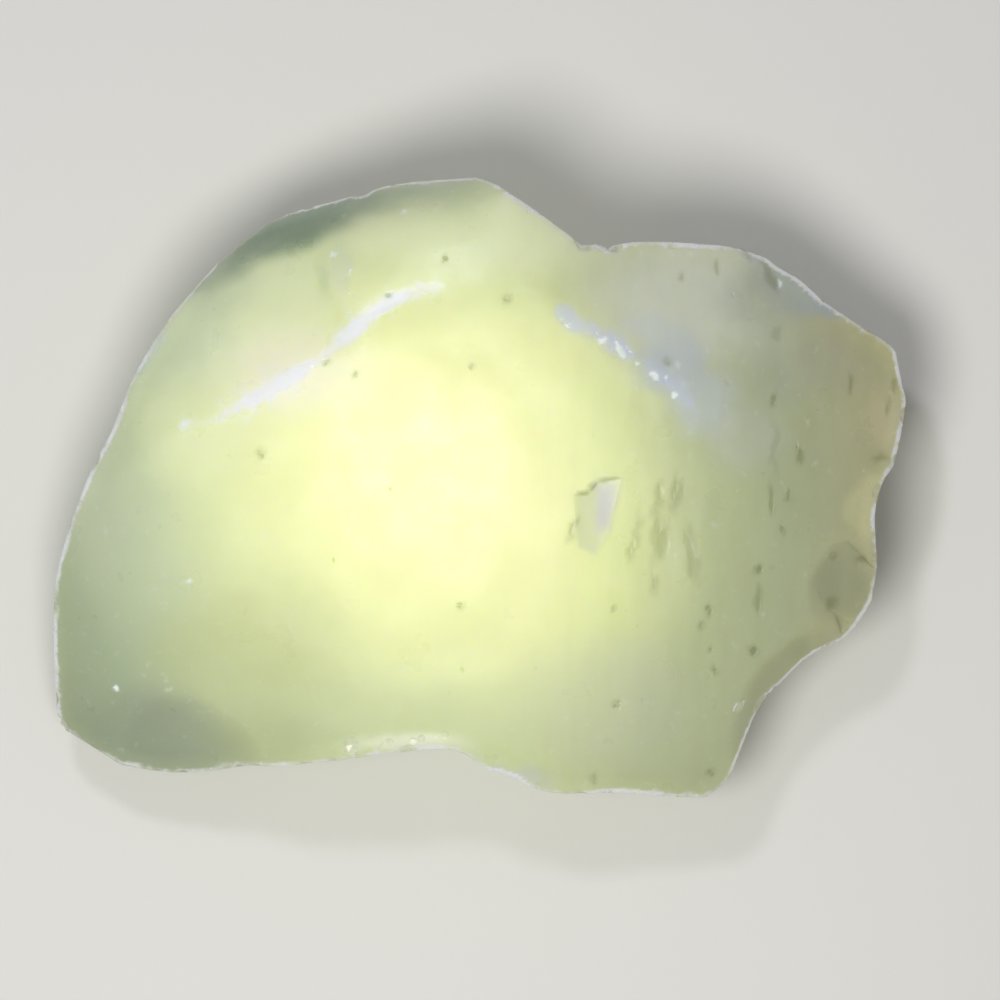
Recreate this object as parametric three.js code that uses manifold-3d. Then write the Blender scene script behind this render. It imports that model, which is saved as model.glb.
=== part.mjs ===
// Glass cullet: one broken lump of thick, milky yellow-green glass, lying on a flat fracture face.
// Millimetres, +Z up. The origin is the middle of the bounding box, at the level the lump lies on.
//
// The lump is knapped as a real one breaks. A prism of the plan outline is the rough block, and
// every fracture takes away what is outside one large ball (a domed face) or inside one small
// ball (a dished scar), because glass breaks along shell-shaped faces.

import * as THREE from "three";
import { mergeVertices } from "three/addons/utils/BufferGeometryUtils.js";
import Module from "manifold-3d";

const wasm = await Module();
wasm.setup();

// ---- driving dimensions ----

const BLOCK_HEIGHT = 24;          // height of the rough block that the faces are struck from
const CROWN = { x: -3, y: -1, z: 16.6 };   // a point on the large domed face, near its middle
const CROWN_RADIUS = 110;         // how gently that face is domed
const CROWN_SLOPE = { x: 0.06, y: 0.16 };  // how it leans there, in rise per millimetre
const CURVE_STEPS = 2;            // straight pieces for each point of an outline curve
const FACET_SAG = 0.01;           // how far a flat facet lies inside its true ball
const MOST_FACETS_ROUND = 200;    // limit on the facets round a ball

const GLASS = { color: 0xdfe6ae, roughness: 0.28, metalness: 0 };

// ---- plan outline ----
// Seen from above it runs clockwise from the west corner. Each stretch is one smooth curve, and the
// stretches meet at corners and nicks.

const OUTLINE = {
  westEdge: [
    [-29.9, -12.5], [-29.9, -9.9], [-29.7, -6.3], [-28.9, -3.4], [-27.4, 0.7],
    [-25.7, 4], [-24.2, 7.8], [-22.2, 11.1], [-20.8, 13], [-19, 15],
  ],
  northWestBevel: [
    [-19, 15], [-17.4, 17.2], [-15.1, 18.6], [-12.6, 19.5], [-10.1, 20.1],
    [-8.8, 20.5], [-8.1, 20.5], [-6.5, 21.2], [-3.5, 21.5], [-0.2, 21.7],
  ],
  northLobe: [[-0.2, 21.7], [1.4, 21.1], [3.3, 19.8], [5.8, 18], [7.2, 16.9]],
  notch: [[7.2, 16.9], [8.5, 17], [9, 16.7]],
  northStraight: [[9, 16.7], [9.4, 17], [12.1, 17.2], [16.4, 17], [18.6, 16.7], [20.3, 16]],
  northEastSteps: [
    [20.3, 16], [21, 15.4], [22.6, 14.6], [24, 13.2], [25.3, 12.3], [27.3, 11], [28.8, 10.1], [29.3, 9.5],
  ],
  eastEnd: [[29.3, 9.5], [29.7, 7.3], [30, 6], [29.6, 3.6], [29.1, 1.5]],
  eastHollow: [[29.1, 1.5], [28.3, 0.4], [27.8, -1.4], [27.8, -3.2], [28, -5], [27.6, -7.9]],
  southEastCorner: [[27.6, -7.9], [26.6, -9.6], [25.6, -10.6]],
  bite: [[25.6, -10.6], [23.2, -11.8], [21.3, -13.6], [19.8, -15.2], [18.8, -17.4], [17.9, -19.8]],
  southCorner: [[17.9, -19.8], [17.4, -20.7], [15.9, -21.8]],
  southLobe: [
    [15.9, -21.8], [13.4, -21.7], [9.8, -21.4], [6.2, -21.5], [3.8, -21.1], [2.2, -20.2], [0.6, -19.8],
  ],
  southHollow: [[0.6, -19.8], [-1.2, -18.5], [-3, -18.3], [-6, -18.6], [-9.8, -19.1], [-11.7, -19.3]],
  southWestEdge: [
    [-11.7, -19.3], [-14.6, -19.6], [-16.2, -19.5], [-19.5, -20], [-22.2, -20], [-25.3, -19.5],
  ],
  southWestCorner: [[-25.3, -19.5], [-27.4, -18.1], [-28.9, -17.2], [-29.6, -16.4], [-29.9, -12.5]],
};

// ---- solids ----

function solidOf(geometry) {
  const bare = geometry.clone();
  bare.deleteAttribute("normal");
  bare.deleteAttribute("uv");
  const merged = mergeVertices(bare, 1e-4);
  const vertProperties = new Float32Array(merged.attributes.position.array);
  const triVerts = new Uint32Array(merged.index.array);
  return new wasm.Manifold(new wasm.Mesh({ numProp: 3, vertProperties, triVerts }));
}

function roughBlock() {
  const stretches = Object.values(OUTLINE);
  const plan = new THREE.Shape();
  plan.moveTo(...stretches[0][0]);
  for (const stretch of stretches) {
    plan.splineThru(stretch.slice(1).map(([x, y]) => new THREE.Vector2(x, y)));
  }
  const settings = { depth: BLOCK_HEIGHT, bevelEnabled: false, curveSegments: CURVE_STEPS };
  return solidOf(new THREE.ExtrudeGeometry(plan, settings));
}

// A ball whose facets lie FACET_SAG inside its true surface, until there would be too many of them.
// Its poles point along Y.
function ball({ centre, radius }) {
  const facet = Math.sqrt(8 * radius * FACET_SAG);
  const round = Math.min(MOST_FACETS_ROUND, Math.ceil((2 * Math.PI * radius) / facet));
  const geometry = new THREE.SphereGeometry(radius, round, Math.ceil(round / 2));
  return solidOf(geometry.translate(centre.x, centre.y, centre.z));
}

// ---- fracture faces ----

// The ball whose top passes through the point at, where it rises by slope along X and Y.
function upperFace({ at, slope, radius }) {
  const outward = new THREE.Vector3(-slope.x, -slope.y, 1).normalize();
  const centre = new THREE.Vector3(at.x, at.y, at.z).addScaledVector(outward, -radius);
  return { centre, radius };
}

// A face struck off another one: at (x, y) it leaves the first face, and falls away from it by
// drop more per millimetre, towards the compass angle in degrees anticlockwise from +X.
function struckFrom(face, { x, y, towards, drop, radius }) {
  const dx = x - face.centre.x;
  const dy = y - face.centre.y;
  const dz = Math.sqrt(face.radius ** 2 - dx ** 2 - dy ** 2);
  const angle = THREE.MathUtils.degToRad(towards);
  const slope = { x: -dx / dz - drop * Math.cos(angle), y: -dy / dz - drop * Math.sin(angle) };
  return upperFace({ at: { x, y, z: face.centre.z + dz }, slope, radius });
}

// The ball whose underside passes through (x, y, z) and rises by slope towards the angle.
function undercutFace({ x, y, z, towards, slope, radius }) {
  const angle = THREE.MathUtils.degToRad(towards);
  const outward = new THREE.Vector3(slope * Math.cos(angle), slope * Math.sin(angle), -1).normalize();
  const centre = new THREE.Vector3(x, y, z).addScaledVector(outward, -radius);
  return { centre, radius };
}

// A dished scar, hollowed by a ball centred at (x, y, z).
function scar(x, y, z, radius) {
  return { centre: new THREE.Vector3(x, y, z), radius };
}

// The upper side: one large domed face, and the faces that fall away from it all round.
const crown = upperFace({ at: CROWN, slope: CROWN_SLOPE, radius: CROWN_RADIUS });
const northWest = struckFrom(crown, { x: -17, y: 6.1, towards: 119.8, drop: 0.42, radius: 76 });
const upperFaces = {
  crown,
  north: struckFrom(crown, { x: -5.6, y: 13.1, towards: 116, drop: 0.37, radius: 90 }),
  northShoulder: struckFrom(crown, { x: 1.4, y: 13.4, towards: 98, drop: 0.22, radius: 100 }),
  northWestRim: struckFrom(northWest, { x: -11, y: 17.9, towards: 111, drop: 1.3, radius: 60 }),
  northEast: struckFrom(crown, { x: 10, y: 9.2, towards: 53.3, drop: 0.42, radius: 110 }),
  eastShoulder: struckFrom(crown, { x: 17, y: 1.9, towards: 24, drop: 0.29, radius: 95 }),
  east: struckFrom(crown, { x: 17.2, y: -2, towards: -8, drop: 0.17, radius: 72 }),
  southEast: struckFrom(crown, { x: 12, y: -12, towards: -48, drop: 0.16, radius: 73 }),
  west: struckFrom(crown, { x: -26.2, y: -6.5, towards: 168, drop: 0.22, radius: 300 }),
};

// The north-west face runs in from the rim only as far as this hollow does, and ends in a low step.
const northWestStep = scar(-35.5, 11.8, 36.3, 32.6);

// The hidden side: steeper faces that run in from the rim to the flat face it lies on.
const undercuts = {
  west: undercutFace({ x: -29.4, y: -9, z: 7.4, towards: 164, slope: 1.25, radius: 160 }),
  northWest: undercutFace({ x: -22.5, y: 9, z: 9.3, towards: 148, slope: 1.3, radius: 150 }),
  north: undercutFace({ x: 0.5, y: 21, z: 11.4, towards: 84, slope: 1.15, radius: 150 }),
  northEast: undercutFace({ x: 24.5, y: 12, z: 7.3, towards: 42, slope: 0.8, radius: 150 }),
  east: undercutFace({ x: 28.5, y: 1, z: 7.6, towards: -10, slope: 0.95, radius: 150 }),
  southEast: undercutFace({ x: 17, y: -20.7, z: 6.8, towards: -58, slope: 1, radius: 150 }),
  south: undercutFace({ x: -24, y: -19.8, z: 5.3, towards: -98, slope: 1, radius: 600 }),
};

// Scars where flakes have come off: four on the upper edges, three under the rim.
const scars = {
  southWestFlake: scar(-24.9, -26.6, 23.6, 18),
  biteAbove: scar(30.5, -22.5, 18.9, 16.2),
  eastChip: scar(29.2, -8.9, 17, 7.8),
  northEastChip: scar(22.8, 17, 17.4, 6.6),
  biteBelow: scar(30.5, -22.5, 0, 15.3),
  southHollowBelow: scar(-5, -30, -6, 20.3),
  notchBelow: scar(10, 26.5, 2, 14.6),
};

function knap() {
  let lump = roughBlock();
  for (const face of [...Object.values(upperFaces), ...Object.values(undercuts)]) {
    lump = lump.intersect(ball(face));
  }
  lump = lump.subtract(ball(northWestStep).subtract(ball(northWest)));
  for (const flake of Object.values(scars)) {
    lump = lump.subtract(ball(flake));
  }
  return lump;
}

// ---- the part ----

function geometryOf(solid) {
  const { vertProperties, triVerts } = solid.getMesh();
  const geometry = new THREE.BufferGeometry();
  geometry.setAttribute("position", new THREE.BufferAttribute(new Float32Array(vertProperties), 3));
  geometry.setIndex(new THREE.BufferAttribute(new Uint32Array(triVerts), 1));
  return geometry;
}

// The lump's bounding box is centred on the origin in plan, and its flat base is at z = 0.
const lumpGeometry = geometryOf(knap());
lumpGeometry.computeBoundingBox();
const middle = lumpGeometry.boundingBox.getCenter(new THREE.Vector3());
lumpGeometry.translate(-middle.x, -middle.y, 0);
lumpGeometry.computeVertexNormals();

const glassLump = new THREE.Mesh(lumpGeometry, new THREE.MeshStandardMaterial(GLASS));
glassLump.name = "glass_lump";

const cullet = new THREE.Group();
cullet.add(glassLump);

export default cullet;
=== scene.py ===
import math

import bmesh
import bpy
import numpy as np
from mathutils import Matrix, Vector
from mathutils.bvhtree import BVHTree
from mathutils.kdtree import KDTree


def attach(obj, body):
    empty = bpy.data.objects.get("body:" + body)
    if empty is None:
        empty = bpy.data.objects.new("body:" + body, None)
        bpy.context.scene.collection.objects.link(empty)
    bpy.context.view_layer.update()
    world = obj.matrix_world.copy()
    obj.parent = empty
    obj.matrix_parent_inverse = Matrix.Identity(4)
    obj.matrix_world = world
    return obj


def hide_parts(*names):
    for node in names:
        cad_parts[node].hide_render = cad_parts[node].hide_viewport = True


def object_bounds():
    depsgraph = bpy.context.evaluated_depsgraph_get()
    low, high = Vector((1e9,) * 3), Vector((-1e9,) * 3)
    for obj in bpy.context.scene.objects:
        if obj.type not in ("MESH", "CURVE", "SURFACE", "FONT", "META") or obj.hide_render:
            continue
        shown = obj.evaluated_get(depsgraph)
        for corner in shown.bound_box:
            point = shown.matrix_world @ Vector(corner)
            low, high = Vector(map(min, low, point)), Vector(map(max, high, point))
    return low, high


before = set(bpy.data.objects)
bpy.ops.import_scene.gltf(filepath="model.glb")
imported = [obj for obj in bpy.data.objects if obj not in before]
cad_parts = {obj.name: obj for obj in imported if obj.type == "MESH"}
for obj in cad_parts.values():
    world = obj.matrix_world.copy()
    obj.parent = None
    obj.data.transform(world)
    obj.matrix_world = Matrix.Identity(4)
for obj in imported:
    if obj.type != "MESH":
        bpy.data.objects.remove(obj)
cad_low, cad_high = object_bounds()

# ------------------------------------------------------------
# The table it lies on, the lamps and the camera.
# A plain pale table top, a soft lamp overhead, a small one to the north-west, and a pale room.
# The camera looks straight down through a long lens, with the lump a little left of the middle.
# ------------------------------------------------------------
MM = 0.001
TABLE_SIZE = 6.0
TABLE_WHITE = "#e6e5e1"
TABLE_ROUGHNESS = 0.8
ROOM_WHITE = "#f2f3f5"
ROOM_LIGHT = 0.32  # strength of the light that the room gives from all sides
FILM_WIDTH = 36.0  # mm, the width of the camera's sensor
LENS = 500.0  # mm
VIEW_WIDTH = 70.18 * MM  # how much of the plane of the rim the camera takes in
RIM_HEIGHT = 10.0 * MM
AIM = (1.44 * MM, -0.81 * MM)  # the plan point that the camera stands over


def linear(hex_colour):
    """A colour written as sRGB hex, turned to the linear numbers that shaders take."""
    parts = [int(hex_colour[i:i + 2], 16) / 255 for i in (1, 3, 5)]
    return [c / 12.92 if c <= 0.04045 else ((c + 0.055) / 1.055) ** 2.4 for c in parts] + [1.0]


def add_node(tree, kind, settings=(), **inputs):
    """Adds a node with its own settings, and gives its inputs numbers or links. _0 is input 0.

    A link is an output of another node, and a whole node stands for its first output.
    """
    made = tree.nodes.new(kind)
    for name, setting in dict(settings).items():
        setattr(made, name, setting)
    for name, value in inputs.items():
        socket = made.inputs[int(name[1:]) if name[0] == "_" else name.replace("_", " ")]
        value = value.outputs[0] if isinstance(value, bpy.types.Node) else value
        if isinstance(value, bpy.types.NodeSocket):
            tree.links.new(value, socket)
        else:
            socket.default_value = value
    return made


def new_material(name):
    made = bpy.data.materials.new(name)
    made.use_nodes = True
    made.node_tree.nodes.clear()
    return made, made.node_tree


def show(name, data):
    piece = bpy.data.objects.new(name, data)
    bpy.context.scene.collection.objects.link(piece)
    return piece


def lay_table():
    half = TABLE_SIZE / 2
    mesh = bpy.data.meshes.new("table_top")
    corners = [(-half, -half, 0), (half, -half, 0), (half, half, 0), (-half, half, 0)]
    mesh.from_pydata(corners, [], [(0, 1, 2, 3)])
    paint, tree = new_material("matt_table_paint")
    shader = add_node(tree, "ShaderNodeBsdfPrincipled", Base_Color=linear(TABLE_WHITE),
                      Roughness=TABLE_ROUGHNESS)
    add_node(tree, "ShaderNodeOutputMaterial", Surface=shader.outputs["BSDF"])
    mesh.materials.append(paint)
    show("table_top", mesh)


def hang_lamp(name, place, size, watts, colour):
    """A round lamp at a place, aimed at the lump."""
    light = bpy.data.lights.new(name, "AREA")
    light.shape = "DISK"
    light.size = size
    light.energy = watts
    light.color = linear(colour)[:3]
    lamp = show(name, light)
    lamp.location = place
    to_lump = Vector((0, 0, RIM_HEIGHT)) - lamp.location
    lamp.rotation_euler = to_lump.to_track_quat("-Z", "Y").to_euler()


lay_table()
hang_lamp("overhead_lamp", place=(-0.028, -0.052, 0.20), size=0.090, watts=0.23, colour="#fffef8")
hang_lamp("north_west_lamp", place=(-0.080, 0.172, 0.350), size=0.050, watts=0.22, colour="#f3f2ff")

room = bpy.data.worlds.new("pale_room")
room.use_nodes = True
backdrop = room.node_tree.nodes["Background"].inputs
backdrop["Color"].default_value = linear(ROOM_WHITE)
backdrop["Strength"].default_value = ROOM_LIGHT
bpy.context.scene.world = room
bpy.context.scene.view_settings.view_transform = "Standard"

lens = bpy.data.cameras.new("camera")
lens.lens = LENS
lens.sensor_width = FILM_WIDTH
lens.clip_start = 10 * MM
camera = show("camera", lens)
camera.location = (*AIM, RIM_HEIGHT + VIEW_WIDTH * LENS / FILM_WIDTH)
bpy.context.scene.camera = camera

# ------------------------------------------------------------
# The body of the lump.
# One piece of thick milky glass, broken by blows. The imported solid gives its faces. Here they
# get an even fine mesh, lose their flat facets, and take the slight waves of a real break.
# ------------------------------------------------------------
GRID = 0.33 * MM  # spacing of the fine mesh
ARRIS_ANGLE = math.radians(18)  # faces that meet more sharply than this make an arris
STEEP = 0.3  # a face this upright or more is part of the rim's wall
FACET_ROUNDS = 150  # rounds of smoothing that take out the solid's flat facets
SMOOTHED = (0.1 * MM, 0.9 * MM)  # from an arris, where that smoothing begins and is whole
SPACED = 0.1  # mm between the points along a line that distances are taken from
WAVES_MIXED = 14  # plain waves that are added up to make a random swell
SWELLS = [(9.0 * MM, 0.12 * MM), (3.0 * MM, 0.03 * MM)]  # width and depth of the slight waves
CORD_SPACING = (1.3 * MM, 7.0 * MM, 7.0 * MM)  # the drawn cords of the eastern half, along Y
CORD_DEPTH = 0.02 * MM
CORDS_FROM = (8.0 * MM, 12.0 * MM)  # where along X they begin, and are at their deepest
# The blows that broke the sides off, x, y and z in millimetres. The break ran out from each in ribs.
BLOWS = [
    (-29.5, -5, 9.8), (-9, -18.5, 9.8), (14, -21.5, 9.8), (28.5, -3, 9.8), (22, 14, 9.5),
    (-2, 21, 9.8), (-18, 15, 9.8),
]
RIB_SPACING = 2.4 * MM
RIB_DEPTH = 0.06 * MM
RIBS_WANDER = 9 * MM  # how far apart the ribs draw together and spread
FOOT = 0.6 * MM  # the height in which waves and ribs fade in above the flat face
INLAND = (0.2 * MM, 1.5 * MM)  # from the rim, where they fade in


def welded(node):
    """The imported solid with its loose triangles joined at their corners."""
    joined = bmesh.new()
    joined.from_mesh(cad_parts[node].data)
    bmesh.ops.remove_doubles(joined, verts=joined.verts, dist=1e-6)
    return joined


def arrises_of(solid):
    """The two ends of every edge where faces meet sharply, and whether it borders the rim's wall."""
    found = []
    for edge in solid.edges:
        if edge.calc_face_angle() > ARRIS_ANGLE:
            upright = min(abs(face.normal.z) for face in edge.link_faces) < STEEP
            found.append((edge.verts[0].co.copy(), edge.verts[1].co.copy(), upright))
    return found


def points_along(arrises):
    """Points along the arrises, close enough together to measure distances from."""
    points = []
    for start, end, _ in arrises:
        count = max(1, round((end - start).length / (SPACED * MM)))
        points += [start.lerp(end, (i + 0.5) / count) for i in range(count)]
    return np.array(points)


def tree_of(points):
    tree = KDTree(len(points))
    for i, point in enumerate(points):
        tree.insert(point, i)
    tree.balance()
    return tree


def distances(vertices, points):
    tree = tree_of(points)
    return np.array([tree.find(v)[2] for v in vertices])


def settled(piece):
    """The piece's mesh with its modifiers applied and taken off."""
    depsgraph = bpy.context.evaluated_depsgraph_get()
    mesh = bpy.data.meshes.new_from_object(piece.evaluated_get(depsgraph))
    piece.modifiers.clear()
    piece.data = mesh
    return mesh


def on_even_grid(solid, spacing):
    rough = bpy.data.meshes.new("rough")
    solid.to_mesh(rough)
    piece = show("rough", rough)
    grid = piece.modifiers.new("grid", "REMESH")
    grid.mode = "VOXEL"
    grid.voxel_size = spacing
    fine = settled(piece)
    bpy.data.objects.remove(piece)
    return fine


def numbers(items, name, width, kind=float):
    """An array of one property of a mesh's vertices, edges or triangles."""
    flat = np.empty(len(items) * width, dtype=kind)
    items.foreach_get(name, flat)
    return flat.reshape(-1, width)


def neighbour_mean(values, edges):
    """For each vertex, the mean of the values at the other ends of its edges."""
    ends, others = np.r_[edges[:, 0], edges[:, 1]], np.r_[edges[:, 1], edges[:, 0]]
    count = np.bincount(ends, minlength=len(values))
    total = [np.bincount(ends, column[others], len(values)) for column in values.T]
    return np.stack(total, 1) / count[:, None]


def evened(values, edges, free, rounds):
    """Each round brings the values that are free half way to the mean of their neighbours."""
    for _ in range(rounds):
        values = values + 0.5 * free[:, None] * (neighbour_mean(values, edges) - values)
    return values


def without_facets(vertices, edges, free):
    """Evens a surface out, and then gives it back the fullness that this takes from a dome."""
    even = evened(vertices, edges, free, FACET_ROUNDS)
    return even + evened(vertices - even, edges, free, FACET_ROUNDS)


def ramp(values, low, high):
    """0 at low, 1 at high, and a soft rise between them."""
    t = np.clip((values - low) / (high - low), 0, 1)
    return t * t * (3 - 2 * t)


def waves(points, size, seed):
    """Smooth random swells, mostly from -1 to 1, about size across. size is one number or three."""
    random = np.random.default_rng(seed)
    way = random.normal(size=(WAVES_MIXED, 3))
    way *= (random.uniform(0.7, 1.4, WAVES_MIXED) / np.linalg.norm(way, axis=1))[:, None]
    turn = random.uniform(0, 2 * math.pi, WAVES_MIXED)
    return np.sin(points / size @ way.T * math.pi + turn).sum(1) / math.sqrt(WAVES_MIXED)


def normals_of(mesh, vertices):
    mesh.vertices.foreach_set("co", vertices.ravel())
    mesh.update()
    return numbers(mesh.vertex_normals, "vector", 3)


solid = welded("glass_lump")
arrises = arrises_of(solid)
arris_points = points_along(arrises)
rim_points = points_along([a for a in arrises if a[2]])
inner_points = points_along([a for a in arrises if not a[2]])
surface = BVHTree.FromBMesh(solid)
fine = on_even_grid(solid, GRID)
edges = numbers(fine.edges, "vertices", 2, np.int32)

body = np.array([surface.find_nearest(v)[0] for v in numbers(fine.vertices, "co", 3)])
arris_tree = tree_of(arris_points)
nearest = [arris_tree.find(v) for v in body]
to_arris = np.array([n[2] for n in nearest])
body = np.where((to_arris < GRID / 2)[:, None], np.array([n[0] for n in nearest]), body)
body = without_facets(body, edges, ramp(to_arris, *SMOOTHED))

# The arrises that cross the top are rubbed round, the western one most. Each point is x and y in
# millimetres, and how white the glass is painted there, from 0 to 1: bruised, with a painted
# highlight or a lilac painted reflection.
WESTERN_ARRIS = [
    (-25, 1.5, 0), (-21.4, 4.1, 0.2), (-20.7, 4.4, 0.9), (-20.2, 4.5, 0.4), (-18.5, 4.8, 0.4),
    (-17.2, 5.5, 0.6), (-15.9, 6.2, 0.95), (-14.1, 7.2, 1), (-12.6, 8.1, 1), (-11.9, 8.5, 0.7),
    (-11, 9, 0.45), (-10.1, 9.8, 0.6), (-9.5, 10.5, 0.8), (-7.7, 12, 1), (-6.1, 13.1, 1),
    (-4.9, 13.6, 0.6), (-2.8, 14.1, 0.5), (-1.9, 14.3, 0),
]
STEP_ARRIS = [(-10.9, 17.4, 0.3), (-10.0, 16.3, 0.7), (-9.5, 15.2, 0.6), (-9.1, 13.4, 0.2)]
EASTERN_ARRIS = [
    (5.6, 11.8, 0.9), (6.4, 11.1, 1), (8.4, 10.4, 0.9), (9.5, 9.9, 1), (10.2, 9.2, 1),
    (10.9, 8.8, 0.5), (12.2, 7.9, 0.8), (13.2, 7.2, 0.9), (14.3, 5.6, 0.8), (15.3, 4.8, 0.4),
    (15.8, 4.2, 0),
]


def on_top(points):
    """The places on top of the lump above plan points, which are in millimetres."""
    high = cad_high[2] + MM
    return [surface.ray_cast(Vector((x * MM, y * MM, high)), Vector((0, 0, -1)))[0] for x, y in points]


def along(points):
    """Places close together along a line on top of the lump, and how bruised each is."""
    drawn = [Vector(point) for point in points]
    path = []
    for start, end in zip(drawn, drawn[1:]):
        count = math.ceil((end - start).xy.length / SPACED)
        path += [start.lerp(end, i / count) for i in range(count)]
    return np.array(on_top([point[:2] for point in path])), np.array([point.z for point in path])


# Places where two faces meet too gently to make an arris: the bend there is smoothed right out.
NORTHERN_BEND = [(-3.2, 14.6, 0), (-1.2, 17.0, 0), (1.0, 20.6, 0)]
EASTERN_BEND = [(15.4, 4.4, 0), (13.8, 1.5, 0), (13.2, -3.0, 0)]
BEVEL_BEND = [(-19.7, 13.9, 0), (-15.5, 15.9, 0), (-12.8, 17.0, 0), (-11.5, 17.0, 0), (-8.6, 18.1, 0),
              (-4.2, 19.1, 0), (0.0, 19.8, 0)]
BEND_REACH = (1.0 * MM, 3.0 * MM)  # within the first all of it is smoothed, past the second nothing
BEND_ROUNDS = 60
BENDS_STOP = (1.0 * MM, 2.0 * MM)  # from the western arris, so that it stays
ALL_OVER = 0.6  # one light round takes the last roughness off the whole body

to_western = distances(body, along(WESTERN_ARRIS)[0])
to_eastern = distances(body, along(EASTERN_ARRIS)[0])
to_inner = distances(body, inner_points)
body = evened(body, edges, np.full(len(body), ALL_OVER), 1)
# Each arris is rubbed round: fully within the first distance, and not at all past the second
for away, near, far, rounds in [
    (to_inner, 0.6 * MM, 1.6 * MM, 6),
    (to_western, 0.6 * MM, 1.8 * MM, 10),
    (to_eastern, 0.5 * MM, 1.3 * MM, 4),
]:
    body = evened(body, edges, 1 - ramp(away, near, far), rounds)

inland = ramp(distances(body, rim_points), *INLAND)
for bend in (NORTHERN_BEND, EASTERN_BEND, BEVEL_BEND):
    to_bend = distances(body, along(bend)[0])
    free = (1 - ramp(to_bend, *BEND_REACH)) * ramp(to_western, *BENDS_STOP) * inland
    body = evened(body, edges, free, BEND_ROUNDS)

normals = normals_of(fine, body)
depth = np.zeros(len(body))
for i, (size, deepest) in enumerate(SWELLS):
    depth += deepest * (0.5 + 0.5 * waves(body, size, seed=20 + i))
cords = np.abs(waves(body, CORD_SPACING, seed=5)) * ramp(body[:, 0], *CORDS_FROM)
depth += CORD_DEPTH * cords
to_blow = np.min([np.linalg.norm(body - np.array(blow) * MM, axis=1) for blow in BLOWS], axis=0)
ribs = 0.5 + 0.5 * np.sin(2 * math.pi * to_blow / RIB_SPACING + waves(body, RIBS_WANDER, seed=6))
depth += RIB_DEPTH * ribs * (1 - ramp(normals[:, 2], 0, STEEP))
depth *= ramp(body[:, 2], 0, FOOT) * inland
body = body - depth[:, None] * normals
body[:, 2] = np.maximum(body[:, 2], 0)
fine.vertices.foreach_set("co", body.ravel())
fine.update()

# ------------------------------------------------------------
# The chips along its edges.
# Wherever two faces meet, the glass has been knocked and has lost a row of small flakes, thickest
# on the worn arrises. Each flake left a shallow facetted dish, cut here by a rough faceted stone.
# ------------------------------------------------------------
# Each row's spacing, smallest and largest stone and how far one strays, in millimetres, the share of
# the places that have a chip, and the seed.
RIM_ROW = (0.45, 0.3, 1.1, 0.25, 0.6, 1)
WESTERN_ROW = (0.3, 0.2, 0.5, 0.4, 0.4, 2)
STEP_ROW = (0.4, 0.2, 0.4, 0.2, 0.5, 4)
EASTERN_ROW = (0.15, 0.3, 0.8, 0.35, 0.9, 3)
SOUTHERN_ROW = (0.7, 0.4, 1.0, 0.4, 0.8, 6)
SOUTHERN_EDGE = [(-9.4, -18.2, 0.3), (-6.0, -17.9, 0.5), (-3.0, -17.4, 0.5), (-1.8, -17.6, 0.3)]
SHALLOW, DEEP = 1.03, 0.9  # how far out a stone's centre stands, against its radius
NARROW, WIDE = 0.7, 1.5  # how far a stone is squashed and drawn out, at random
TURNED = 6.28  # how far it is turned at random, in radians


def normal_tree(vertices, normals):
    tree = tree_of(vertices)
    return lambda point: Vector(normals[tree.find(point)[1]])


def marks(name, places, **attributes):
    """Loose points that carry attributes, each with a vector for every point."""
    mesh = bpy.data.meshes.new(name)
    mesh.from_pydata([tuple(p) for p in places], [], [])
    for label, values in attributes.items():
        held = mesh.attributes.new(label, "FLOAT_VECTOR", "POINT")
        held.data.foreach_set("vector", np.array(values, dtype=float).ravel())
    return show(name, mesh)


def node_tree(name, inputs):
    """An empty geometry tree that takes a body and the named inputs, and gives the body back."""
    tree = bpy.data.node_groups.new(name, "GeometryNodeTree")
    tree.interface.new_socket("Geometry", in_out="OUTPUT", socket_type="NodeSocketGeometry")
    tree.interface.new_socket("Body", in_out="INPUT", socket_type="NodeSocketGeometry")
    for label, kind in inputs.items():
        tree.interface.new_socket(label, in_out="INPUT", socket_type="NodeSocket" + kind)
    return tree, tree.nodes.new("NodeGroupInput").outputs


def take_out(tree, body, cutters, material):
    """Ends a tree: the body with the cutters taken out of it, and its material set."""
    cut = add_node(tree, "GeometryNodeMeshBoolean", {"operation": "DIFFERENCE", "solver": "MANIFOLD"},
                   Mesh_1=body, Mesh_2=cutters)
    whole = add_node(tree, "GeometryNodeRealizeInstances", _0=cut.outputs["Mesh"])
    glazed = add_node(tree, "GeometryNodeSetMaterial", Geometry=whole, Material=material)
    add_node(tree, "NodeGroupOutput", _0=glazed)


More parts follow.
